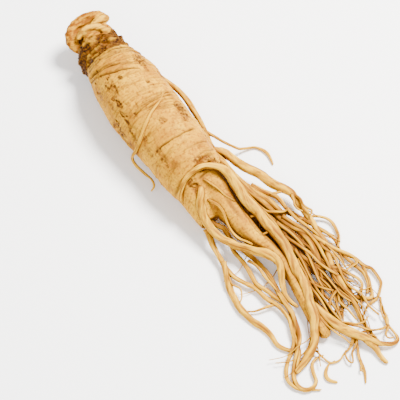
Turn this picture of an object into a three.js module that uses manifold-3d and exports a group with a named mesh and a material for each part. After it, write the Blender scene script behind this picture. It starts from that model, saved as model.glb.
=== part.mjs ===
// A fresh ginseng root as dug: twisted rhizome crown, thick taproot, legs and rootlets.
// It grew as one piece, so it is one solid. Millimetres, Z up. X runs along the root from
// the crown to the rootlet tips, and the root lies on its belly on the plane Z = 0.

import * as THREE from 'three';
import { mergeVertices } from 'three/addons/utils/BufferGeometryUtils.js';
import Module from 'manifold-3d';

const skinColour = 0xe2bd80;
const skinRoughness = 0.62;

const bodySides = 20;
const legSides = 9;
const rootletSides = 5;
const bodyStep = 3;
const legStep = 4.5;
const rootletStep = 5;
const lumpSegments = 12;
const roomSize = 600;

// Every root is a list of [x, y, z, radius], from where it grows to its tip.

const neckAndBody = [
  [-50, 0, 17, 7.5],
  [-47, 0, 17, 9.5],
  [-42, 0, 16, 10.5],
  [-37, 0, 16, 11.5],
  [-34, 0, 16, 11.8],
  [-31, 0, 16, 13.4],
  [-26, 0, 16, 15.4],
  [-19, 0, 16.3, 16.8],
  [-10, 0, 17, 17.5],
  [0, 0, 17.2, 17.7],
  [10, 1, 17, 17.6],
  [20, 2, 16.5, 17.2],
  [31, 3, 16, 16.5],
  [41, 3, 15.5, 16],
  [50, 4, 14.5, 15],
  [57, 4, 13.5, 13],
  [63, 3, 12, 10.5],
  [68, 2, 10, 8],
  [73, 1, 8, 4.5],
];

const mainLeg = [
  [50, 5, 16, 11],
  [60, 7, 14.5, 10.5],
  [66, 8, 13, 8.2],
  [72, 9, 11.5, 6.4],
  [80, 10, 10, 5.5],
  [89, 12, 8, 4.8],
  [98, 16, 7, 3.8],
  [108, 18, 6, 3.4],
  [118, 18, 5, 3.4],
  [128, 17, 5, 3.6],
  [138, 16, 4, 3.7],
  [146, 16, 4, 3.4],
  [150, 16, 4, 1.8],
];

// Thick roots that split off the end of the taproot.
const legs = {
  archedRoot: [
    [57, -10, 16, 0.9], [55, -7, 22, 1.4], [53, -3, 26, 1.7], [53, 2, 28.5, 1.9],
    [54, 7, 29.5, 2.1], [57, 12, 28, 2.3], [61, 15, 25.5, 2.5], [66, 16, 22, 2.6],
    [73, 17, 18, 2.7], [80, 19, 15, 2.8], [88, 21, 12, 2.8], [96, 22, 11, 2.5],
    [104, 22, 9.5, 2.4], [113, 21, 8.5, 2.4], [123, 20, 8, 2.5], [131, 18, 7, 2.6],
    [138, 16, 7, 2.6], [144, 13, 6, 2.5], [149, 10, 5, 2.4], [153, 5, 4, 2.2],
    [156, 0, 3, 2], [159, -7, 2.5, 1.5],
  ],
  outerRoot: [
    [34, 14, 14, 2.6], [42, 21, 14, 2.3], [47, 24, 13.5, 2.2], [51, 26.5, 12.5, 2.4],
    [56, 29, 11.5, 2.7], [60, 32, 10.5, 2.7], [65, 34.5, 9.5, 2.6], [69, 37, 8.5, 2.5],
    [74, 40, 7.5, 2.4], [79, 42.5, 7, 1.9], [88, 42, 6, 1.6], [98, 42.5, 5, 1.4],
    [107, 42, 4, 1.6], [115, 40, 3, 1.9], [124, 37.5, 3, 1.8], [132, 37.5, 2.5, 1.7],
    [142, 37.5, 2.5, 1.5], [150, 35.5, 2, 1.2], [158, 35.5, 1.5, 0.9], [165, 37, 1, 0.6],
  ],
  hookedRoot: [
    [120, 18, 5, 1.8], [130, 18, 5, 2.4], [140, 20, 5.5, 2.7], [148, 22.5, 5, 2.6],
    [154, 26, 4.5, 2.4], [160, 30.5, 4, 2.1], [164, 33.5, 3.5, 1.7], [167, 37, 3, 1.3],
    [169, 41, 2.5, 1.1], [168, 44.5, 2, 1], [164, 45, 2, 0.8], [159.5, 44.5, 2, 1],
    [157, 45.5, 2, 1.3], [155, 46.5, 2, 0.9], [150, 47.5, 1.5, 0.7], [145, 50, 1.5, 0.7],
  ],
  leftRoot: [
    [60, 2, 17, 1.7], [66, -3, 15, 2], [73, -6, 10.5, 2.1], [80, -4.5, 9, 2],
    [85, -1.5, 9, 1.9], [89, 1.5, 9.5, 1.8], [93, 5, 10.5, 1.8], [97, 8, 11.5, 1.9],
    [101, 11.5, 12, 2], [105, 14, 11.5, 2], [109, 15, 10.5, 1.9], [113, 13.5, 9, 1.7],
    [117, 11.5, 6.5, 1.5], [122, 10, 5, 1.3], [127, 10.5, 4.5, 1.1], [131, 12, 4.5, 0.9],
  ],
};

// Thinner rootlets. They start inside the thicker root that they grow from.
const rootlets = {
  longLeft: [
    [74, -5, 9, 1.5], [82, -6, 5.5, 1.4], [88, -6.5, 4.5, 1.3], [96, -6.5, 3, 1.3],
    [105, -3.5, 3, 1.2], [112, 0.5, 3, 1.2], [119, 2, 3, 1.2], [126, 5, 3, 1.2],
    [134, 5, 3, 1.2], [142, 3, 2.5, 1.2], [149, 1, 2.5, 1.1], [154, -3, 2.5, 1],
    [158, -6.5, 2.5, 1],
  ],
  innerLeft: [
    [68, -2, 9, 1.3], [73, -1, 9.5, 1.4], [78, 2, 9, 1.4], [84, 2, 7.5, 1.3],
    [90, 1, 5.5, 1.3], [97, 2, 4, 1.3], [104, 2, 3.5, 1.3], [111, 2, 3.5, 1.3],
    [118, 5, 3.5, 1.3], [126, 8, 3.5, 1.3], [134, 7, 3, 1.3], [141, 4, 2.5, 1.2],
    [147, -1, 2, 1.1], [151, -6, 1.8, 1.1], [155, -9.5, 1.5, 1.1], [160, -11.5, 1.5, 1],
    [165, -10, 1.5, 0.9], [168, -6, 1.2, 0.8], [171, 0, 1, 0.5],
  ],
  loopedLeft: [
    [84, 2, 7, 1.2], [92, 5, 6, 1.3], [100, 8, 5, 1.3], [108, 9, 4.5, 1.3],
    [117, 8.5, 4, 1.3], [126, 8, 4, 1.3], [135, 7.5, 3.5, 1.3], [143, 5, 3, 1.3],
    [150, -1, 2.5, 1.2], [156, -6, 2, 1.2], [160, -8.5, 1.8, 1.2], [164, -9, 1.8, 1.2],
    [167.5, -7, 1.8, 1.1], [168.5, -3.5, 1.8, 1.1], [166.5, -0.5, 1.8, 1], [162, 1, 1.8, 1],
    [158, 3, 2, 0.9], [156.5, 6, 2, 0.8], [157, 10, 2, 0.6],
  ],
  farLeft: [
    [92, -6.5, 4, 1.3], [100, -9, 3, 1.5], [108, -11, 2, 1.7], [116, -11.5, 1.8, 1.8],
    [123, -10, 1.6, 1.7], [129, -7.5, 1.5, 1.5], [135, -6, 1.5, 1.3], [141, -6, 1.5, 1.1],
    [145, -4, 1.5, 1], [149, 0, 2, 0.9],
  ],
  sideRoot: [
    [-14, 12, 21, 1.6], [-9, 17.5, 17, 1.5], [-4, 20, 16, 1.5], [1, 21.5, 16, 1.6],
    [8, 22.5, 16, 1.7], [15, 22.5, 16, 1.7], [23, 22, 15.5, 1.6], [31, 20.5, 15, 1.5],
    [38, 20, 14, 1.3], [46, 21, 13, 1],
  ],
  freeCurl: [
    [27, 20, 15.5, 1], [33, 23, 15, 0.9], [37, 27, 12, 0.8], [39, 30.5, 8, 0.8],
    [40.5, 34, 4.5, 0.8], [41, 38.5, 2, 0.8], [42, 42.5, 1.2, 0.8], [45, 45, 1, 0.9],
    [48, 46, 1, 0.9], [51, 46, 1, 0.8], [55.5, 45, 0.8, 0.5],
  ],
  overBody: [
    [8, 9, 32.5, 0.6], [12, 4.5, 33.6, 0.8], [15, -1, 33.5, 0.9], [18.5, -7, 31.5, 0.9],
    [22, -12.5, 25.5, 0.9], [22.5, -16, 18, 0.9], [22, -17.5, 12, 0.8], [25, -17, 9, 0.8],
    [30, -15.5, 8, 0.8], [35, -14, 7.5, 0.7], [38, -14.5, 6, 0.7], [38.5, -16.5, 2.5, 0.5],
  ],
  besideArch: [
    [40, 15, 18, 1.5], [48, 18.5, 18, 1.5], [56, 20, 16.5, 1.5], [64, 22.5, 13.5, 1.6],
    [70, 26, 11, 1.6], [76, 29.5, 9, 1.6], [82, 31, 7.5, 1.5], [89, 32, 6, 1.5],
    [96, 34.5, 5, 1.6], [104, 36, 4.5, 1.7], [112, 35, 4, 1.7], [120, 33, 3, 1.5],
    [128, 33, 2.5, 1.3], [134, 34, 2, 1.2], [139, 40, 2, 1.1], [143, 46, 1.8, 1],
    [137, 49, 1.8, 0.9], [130, 51, 2, 0.9], [126, 52, 2, 0.9],
  ],
  secondBesideArch: [
    [44, 14, 19, 1.4], [52, 18, 20, 1.4], [60, 20, 16.5, 1.5], [68, 22.5, 12.5, 1.6],
    [75, 26, 9.5, 1.6], [82, 28.5, 7, 1.6], [90, 31, 5.5, 1.5], [98, 36, 5, 1.5],
    [105, 40, 4.5, 1.4], [111, 43, 4, 1.3], [116, 47, 3, 1.2], [121, 50.5, 2.5, 1.1],
    [127, 52.5, 2, 1], [131, 55, 2, 0.9], [138, 55, 1.8, 0.9], [142, 52, 1.8, 0.8],
    [145, 48, 1.5, 0.8], [146, 42, 1.5, 0.7], [149, 38, 1.5, 0.5],
  ],
  underArch: [
    [52, 15, 20, 1.5], [60, 18, 18, 1.6], [68, 20, 13.5, 1.7], [76, 22.5, 10.5, 1.6],
    [84, 25, 8, 1.6], [92, 27, 6, 1.5], [100, 27, 5, 1.5], [108, 26, 4, 1.4],
    [116, 25, 4, 1.3], [124, 24, 3.5, 1.3], [132, 24.5, 3, 1.2], [140, 24.5, 3, 1.2],
    [148, 24.5, 4, 1],
  ],
  highBranch: [
    [66, 25, 12.5, 1.2], [72, 31, 9, 1.3], [78, 34.5, 7.5, 1.3], [85, 36, 6.5, 1.3],
    [91, 38.5, 5.5, 1.3], [97, 42, 5, 1.2], [103, 46, 3.5, 1], [110, 47.5, 2.5, 0.9],
    [118, 47, 2, 0.9], [125, 48.5, 2, 0.9], [131, 50, 2, 0.9], [137, 48.5, 1.8, 0.8],
    [141, 45, 1.8, 0.8],
  ],
  freeLoop: [
    [91, 36.5, 6, 1], [92, 42, 5, 0.9], [93, 47, 3.5, 0.9], [96, 51, 2.5, 0.9],
    [100, 52.5, 2, 0.9], [105, 51.5, 2, 0.9], [109, 49.5, 2.5, 0.8], [113, 46.5, 3.5, 0.8],
  ],
  crossing: [
    [98, 24, 7, 1.2], [106, 27, 5, 1.3], [113, 30, 4.5, 1.3], [119, 34, 4, 1.2],
    [123, 40, 3.5, 1.1], [128, 43.5, 2.5, 0.9], [132, 46, 2, 0.9], [136, 45.5, 2, 0.8],
    [139, 41, 2, 0.7], [141, 37.5, 2, 0.6],
  ],
  backCrossing: [
    [116, 31, 4, 1.1], [124, 29, 3.5, 1], [130, 31, 3, 1], [135, 33, 2, 0.9],
    [139, 32.5, 1.8, 0.9], [142.5, 29.5, 2, 0.9], [146, 24, 4, 0.8],
  ],
  bluntEnd: [
    [161, 31, 3.5, 1.5], [166, 32.5, 2.5, 1.5], [170, 32.5, 2, 1.3], [173, 33, 1.5, 1.2],
    [175.5, 34, 1.2, 0.9],
  ],
  wavyTip: [
    [156, 27, 3.5, 1], [161, 26, 2, 0.8], [166, 24, 1.2, 0.8], [171, 23, 1, 0.8],
    [175, 21.5, 1, 0.7], [179, 19, 0.8, 0.5],
  ],
  lowLoop: [
    [157, 27, 4, 0.9], [160, 23, 2, 0.7], [161, 19, 1.2, 0.6], [163, 15, 1, 0.6],
    [162, 11, 1, 0.6], [158, 9, 1.5, 0.6], [153, 7, 3.5, 0.7],
  ],
  hookTip: [
    [162, 13, 1, 0.5], [162, 10, 1, 0.5], [163.5, 7.5, 1, 0.9], [166, 5.5, 1, 1],
    [169, 5.5, 1, 1], [172, 8.5, 0.8, 0.7],
  ],
};

// Lobes of the twisted crown, each a lump with its centre, half sizes and turn about Z.
const crownLumps = [
  { centre: [-54, 0, 16], halfSizes: [7, 10, 8], turn: 0 },
  { centre: [-54, 9.5, 18], halfSizes: [4, 5, 4], turn: 0.3 },
  { centre: [-52, -9, 15], halfSizes: [5.5, 5, 6], turn: 0.4 },
  { centre: [-41, -9, 16], halfSizes: [6, 4, 5], turn: 0.3 },
  { centre: [-36, -11, 14], halfSizes: [4, 3, 5], turn: 0 },
  { centre: [-40, 8, 19], halfSizes: [6, 4, 5], turn: -0.3 },
];
const crownRope = [
  [-48, -7, 15, 3.2], [-51.5, -10.5, 16, 3.6], [-56, -9, 17, 3.6], [-58.5, -4, 18.5, 3.4],
  [-59, 2, 19.5, 3.2], [-58, 7, 19.5, 3.2], [-55, 10.5, 18.5, 3], [-52.5, 12, 18, 2.2],
];
const innerLip = [
  [-50, -7, 21, 2.2], [-53, -4, 23, 2.4], [-53, 1, 24, 2.4], [-50, 5, 23, 2.4],
  [-46, 8, 20, 2.4],
];

// A closed tube of round section along a smooth curve through a root's points.
function grow(points, sides, step) {
  const centres = points.map(([x, y, z]) => new THREE.Vector3(x, y, z));
  const curve = new THREE.CatmullRomCurve3(centres, false, 'centripetal');
  const radii = points.map((point, i) => new THREE.Vector3(i, point[3], 0));
  const thickness = new THREE.CatmullRomCurve3(radii, false, 'catmullrom', 0.5);
  const steps = Math.max(4, Math.round(curve.getLength() / step));
  const frames = curve.computeFrenetFrames(steps, false);
  const tube = new THREE.CylinderGeometry(1, 1, 1, sides, steps, false);
  const corners = tube.attributes.position;
  for (let i = 0; i < corners.count; i += 1) {
    const ring = Math.round((0.5 - corners.getY(i)) * steps);
    const t = curve.getUtoTmapping(ring / steps);
    const radius = thickness.getPoint(t).y;
    const spot = curve.getPoint(t);
    spot.addScaledVector(frames.normals[ring], corners.getX(i) * radius);
    spot.addScaledVector(frames.binormals[ring], corners.getZ(i) * radius);
    corners.setXYZ(i, spot.x, spot.y, spot.z);
  }
  return tube;
}

function lump({ centre, halfSizes, turn }) {
  const ball = new THREE.SphereGeometry(1, lumpSegments, lumpSegments / 2);
  return ball.scale(...halfSizes).rotateZ(turn).translate(...centre);
}

const wasm = await Module();
wasm.setup();

function toSolid(geometry) {
  const bare = geometry.clone();
  bare.deleteAttribute('normal');
  bare.deleteAttribute('uv');
  const merged = mergeVertices(bare, 1e-4);
  return new wasm.Manifold(new wasm.Mesh({
    numProp: 3,
    vertProperties: new Float32Array(merged.attributes.position.array),
    triVerts: new Uint32Array(merged.index.array),
  }));
}

function toGeometry(solid) {
  const mesh = solid.getMesh();
  const geometry = new THREE.BufferGeometry();
  geometry.setAttribute('position', new THREE.BufferAttribute(mesh.vertProperties, 3));
  geometry.setIndex(new THREE.BufferAttribute(mesh.triVerts, 1));
  geometry.computeVertexNormals();
  return geometry;
}

const grownParts = [
  grow(neckAndBody, bodySides, bodyStep),
  grow(mainLeg, legSides, legStep),
  grow(crownRope, legSides, legStep),
  grow(innerLip, legSides, legStep),
  ...crownLumps.map(lump),
  ...Object.values(legs).map((points) => grow(points, legSides - 2, legStep)),
  ...Object.values(rootlets).map((points) => grow(points, rootletSides, rootletStep)),
];
const grown = grownParts.map(toSolid).reduce((whole, part) => whole.add(part));

// What would lie below the surface that the root rests on is cut away, which leaves it a
// narrow flat along its belly.
const aboveSurface = new THREE.BoxGeometry(roomSize, roomSize, roomSize);
aboveSurface.translate(0, 0, roomSize / 2);
const rested = grown.intersect(toSolid(aboveSurface));

const skin = new THREE.MeshStandardMaterial({
  color: skinColour,
  roughness: skinRoughness,
  metalness: 0,
});
const root = new THREE.Mesh(toGeometry(rested), skin);
root.name = 'ginseng_root';

const group = new THREE.Group();
group.add(root);

export default group;
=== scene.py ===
"""A fresh ginseng root lying on a pale table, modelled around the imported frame.

Lengths in the root lists are millimetres in the frame's own axes: X runs along the root from
its crown to its rootlet tips, Z is up, and the root lies on Z = 0.
"""

import math
import random

import bpy
import numpy as np
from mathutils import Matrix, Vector
from mathutils.bvhtree import BVHTree


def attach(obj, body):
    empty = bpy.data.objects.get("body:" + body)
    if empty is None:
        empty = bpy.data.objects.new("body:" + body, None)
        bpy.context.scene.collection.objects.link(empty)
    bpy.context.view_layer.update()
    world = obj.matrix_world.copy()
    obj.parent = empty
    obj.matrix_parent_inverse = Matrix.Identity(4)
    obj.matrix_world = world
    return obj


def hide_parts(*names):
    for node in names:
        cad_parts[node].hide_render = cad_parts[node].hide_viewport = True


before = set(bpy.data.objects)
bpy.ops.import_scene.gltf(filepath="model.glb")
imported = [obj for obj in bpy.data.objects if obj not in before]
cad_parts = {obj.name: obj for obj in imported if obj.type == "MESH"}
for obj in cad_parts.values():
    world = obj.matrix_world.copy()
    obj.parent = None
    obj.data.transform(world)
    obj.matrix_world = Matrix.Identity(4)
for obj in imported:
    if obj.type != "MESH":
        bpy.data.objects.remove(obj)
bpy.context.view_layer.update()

bl_info = {
    "name": "Ginseng root",
    "version": (1, 0, 0),
    "blender": (4, 5, 0),
    "location": "3D View > Sidebar > Ginseng",
    "description": "Grows a ginseng root with its crown, legs and rootlets, and lays its stage",
    "category": "Add Mesh",
}

NODE = "ginseng_root"
BODY = "root"
MM = 0.001

# Every root is a list of (x, y, z, radius) in millimetres, from where it grows to its tip.

TAPROOT = [
    (-51, 0, 13, 4.5), (-48.5, 0, 14, 5.8), (-46.5, 0, 15, 7.6), (-44.5, 0, 15.8, 9.2),
    (-41, 0, 16, 9.8), (-37, 0, 16, 10.4), (-34.2, 0, 16, 11.2), (-32.4, 0, 16, 12.8),
    (-29.5, 0, 16, 14.3), (-26, 0, 16, 15.4), (-19, 0, 16.3, 16.8), (-10, 0, 17, 17.5),
    (0, 0, 17.2, 17.7), (10, 1, 17, 17.6), (20, 2, 16.5, 17.2), (31, 3, 16, 16.5),
    (41, 3, 15.5, 16), (48, 3.5, 15, 15.2), (51.5, 3.5, 14.5, 14.4), (54, 3, 14, 12.8),
    (58, 2, 13, 11.2), (63, 0.5, 12, 9.2), (68, -1, 10.5, 7), (72, -2.5, 9, 4.5),
]
MAIN_LEG = [
    (46, 5, 16, 11), (54, 6.5, 16, 11.2), (60, 7.5, 14.8, 10.2), (66, 8.3, 13.2, 8.4),
    (72, 9, 11.6, 6.8), (80, 10.3, 9.8, 5.7), (89, 12.3, 8, 4.8), (98, 16, 7, 3.8),
    (108, 18, 6, 3.4), (118, 18, 5, 3.4), (128, 17, 4.8, 3.6), (138, 16, 4.2, 3.7),
    (146, 16, 4, 3.5), (149.5, 16, 3.8, 2.6), (151, 16, 3.8, 1),
]

# Ropes and lobes of the twisted crown.
CROWN_ROPES = {
    "outer": [
        (-53.4, 9.6, 20, 2.1), (-56.4, 9.2, 20.8, 2.3), (-58, 7.4, 21.2, 2.4),
        (-59.6, 4.6, 21.4, 2.3), (-60.4, 1, 21.4, 2.2), (-60.4, -2.4, 21, 2.3),
        (-59.5, -5.9, 20, 2.6), (-57.9, -8.7, 18.6, 2.9), (-55.4, -10.5, 17.2, 3.1),
        (-52.6, -11, 15.6, 3.1), (-50.2, -9.6, 14.2, 3), (-48.5, -7, 13, 3),
    ],
    "rim": [
        (-57.4, 5.6, 20.6, 1.2), (-58, 3, 20.9, 1.2), (-58.2, 0, 20.9, 1.2),
        (-57.8, -2.6, 20.2, 1), (-57.4, -4.8, 19, 0.8),
    ],
    "left_strand": [
        (-57.6, -5, 18.6, 1.1), (-56, -7.2, 19, 1.3), (-53.6, -8.4, 18.6, 1.4),
        (-51, -8.2, 17.4, 1.3),
    ],
    "lip": [
        (-50.1, -8.4, 20.6, 1.3), (-51.4, -6.4, 22.6, 1.8), (-51.3, -3, 24.4, 1.9),
        (-50.1, 0.3, 25.1, 1.8), (-48.3, 3, 25, 1.8), (-46.2, 5.4, 24, 2),
        (-44.2, 7.8, 21.8, 2.2), (-43, 9, 18, 2),
    ],
    "nub": [
        (-52, -0.6, 21.6, 1.4), (-53.2, 1.8, 22, 1.8), (-53.8, 4.2, 22.4, 2.1),
        (-54, 6.9, 22.5, 2.3), (-54.1, 9.3, 22.1, 2.3), (-54, 11, 21.6, 1.7),
    ],
    "neck_lobe_left": [
        (-45, -1, 25, 1.1), (-43.6, -4.6, 24.2, 2.2), (-42.5, -7.7, 21.2, 3.1),
        (-41.5, -9.8, 17, 3.2), (-40.7, -10.9, 13, 2.8), (-38.5, -10.4, 10, 2.2),
    ],
    "neck_lobe_right": [
        (-42, 0.6, 25.6, 1.4), (-40.8, 5.4, 24.6, 2.3), (-39.6, 8.6, 22, 2.6),
        (-37.4, 10.2, 19, 2.4), (-36, 11, 15, 1.8),
    ],
    "neck_fold": [
        (-38.4, -4, 25.4, 1), (-38, 0, 26.4, 1.3), (-36.8, 4.6, 25.6, 1.6),
        (-35.2, 7.8, 23.6, 1.7), (-33.6, 10, 20.6, 1.4),
    ],
    "low_bump": [
        (-38, -9.8, 8, 2.2), (-36.6, -11.8, 11.5, 2.4), (-36.4, -12, 15, 1.8),
        (-36.2, -10.8, 18.5, 1.3),
    ],
    "shoulder_rim": [
        (-33.4, -12.8, 12, 1), (-32.9, -12.4, 16.5, 1.2), (-32, -10.6, 21.4, 1.3),
        (-30.9, -7, 26, 1.4), (-29.8, -1.8, 28.8, 1.4), (-28.6, 2.9, 29.4, 1.3),
        (-27.6, 7.4, 27.6, 1.2), (-27.2, 11, 24.4, 1),
    ],
}
# Lumps that fill the crown between its ropes: their centres and half sizes.
CROWN_LUMPS = [
    ((-55.4, 2, 14), (4.9, 7.4, 5.4)),
    ((-56.2, 1.4, 17.4), (3.6, 7, 3)),
    ((-47, -1.5, 20.6), (3.2, 5.6, 4.2)),
    ((-54, -4.5, 12.4), (4.6, 5.6, 4.4)),
    ((-50.5, 4.5, 15.8), (4.6, 6.4, 6.6)),
    ((-49, -1, 13.6), (5, 7.5, 6)),
]

# Thick roots that split off the end of the taproot.
LEGS = {
    "arched_root": [
        (57.8, -8.4, 12.6, 0.6), (56.4, -9.4, 17.6, 0.8), (54, -6.8, 23.7, 1.1),
        (52.6, -3, 27, 1.25), (52.4, 2, 29.2, 1.4), (53.4, 7, 29.8, 1.55),
        (56.5, 12, 28.2, 1.8), (61, 15, 25.5, 2.2), (66, 16, 22, 2.45), (73, 17, 18, 2.6),
        (80, 19, 15, 2.6), (88, 21, 12, 2.6), (96, 22, 11, 2.4), (104, 22, 9.5, 2.3),
        (113, 21, 8.5, 2.3), (123, 20, 8, 2.4), (131, 18, 7, 2.5), (138, 16, 7, 2.5),
        (144, 13, 6, 2.4), (149, 10, 5, 2.3), (153, 5, 4, 2.1), (156, 0, 3, 1.8),
        (159, -7, 2.5, 1.3),
    ],
    "outer_root": [
        (34, 14, 14, 2.6), (42, 21, 14, 2.3), (47, 24, 13.5, 2.2), (51, 26.5, 12.5, 2.4),
        (56, 29, 11.5, 2.6), (60, 32, 10.5, 2.6), (65, 34.5, 9.5, 2.5), (69, 37, 8.5, 2.4),
        (74, 40, 7.5, 2.3), (79, 42.5, 7, 1.9), (88, 42, 6, 1.6), (98, 42.5, 5, 1.4),
        (107, 42, 4, 1.6), (115, 40, 3, 1.9), (124, 37.5, 3, 1.8), (132, 37.5, 2.5, 1.7),
        (142, 37.5, 2.5, 1.5), (150, 35.5, 2, 1.2), (158, 35.5, 1.5, 0.9), (165, 37, 1, 0.5),
    ],
    "hooked_root": [
        (120, 18, 5, 1.8), (130, 18, 5, 2.4), (140, 20, 5.5, 2.6), (148, 22.5, 5, 2.5),
        (154, 26, 4.5, 2.3), (160, 30.5, 4, 2), (164, 33.5, 3.5, 1.6), (167, 37, 3, 1.2),
        (169, 41, 2.5, 1), (168, 44.5, 2, 0.9), (164, 45, 2, 0.7), (159.5, 44.5, 2, 0.9),
        (157, 45.5, 2, 1.2), (155, 46.5, 2, 0.8), (150, 47.5, 1.5, 0.6), (145, 50, 1.5, 0.6),
    ],
    "left_root": [
        (58.5, 1, 20.5, 1.2), (60.2, -0.4, 22, 1.5), (62.4, -1.8, 21.6, 1.7),
        (64.2, -3.2, 19.9, 1.9), (66.4, -3.9, 17.4, 2), (69, -4.3, 14.8, 2),
        (73, -4.5, 12.4, 2), (77.6, -3.7, 11, 1.9), (82.4, -2.1, 10.2, 1.8),
        (86.4, 0.6, 9.8, 1.7), (90, 2.6, 9.9, 1.7), (93, 5, 10.5, 1.7), (97, 8, 11.5, 1.8),
        (101, 11.5, 12, 1.9), (105, 14, 11.5, 1.9), (109, 15, 10.5, 1.8),
        (113, 13.5, 9, 1.6), (117, 11.5, 6.5, 1.4), (122, 10, 5, 1.2), (127, 10.5, 4.5, 1),
        (131, 12, 4.5, 0.7),
    ],
}

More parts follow.
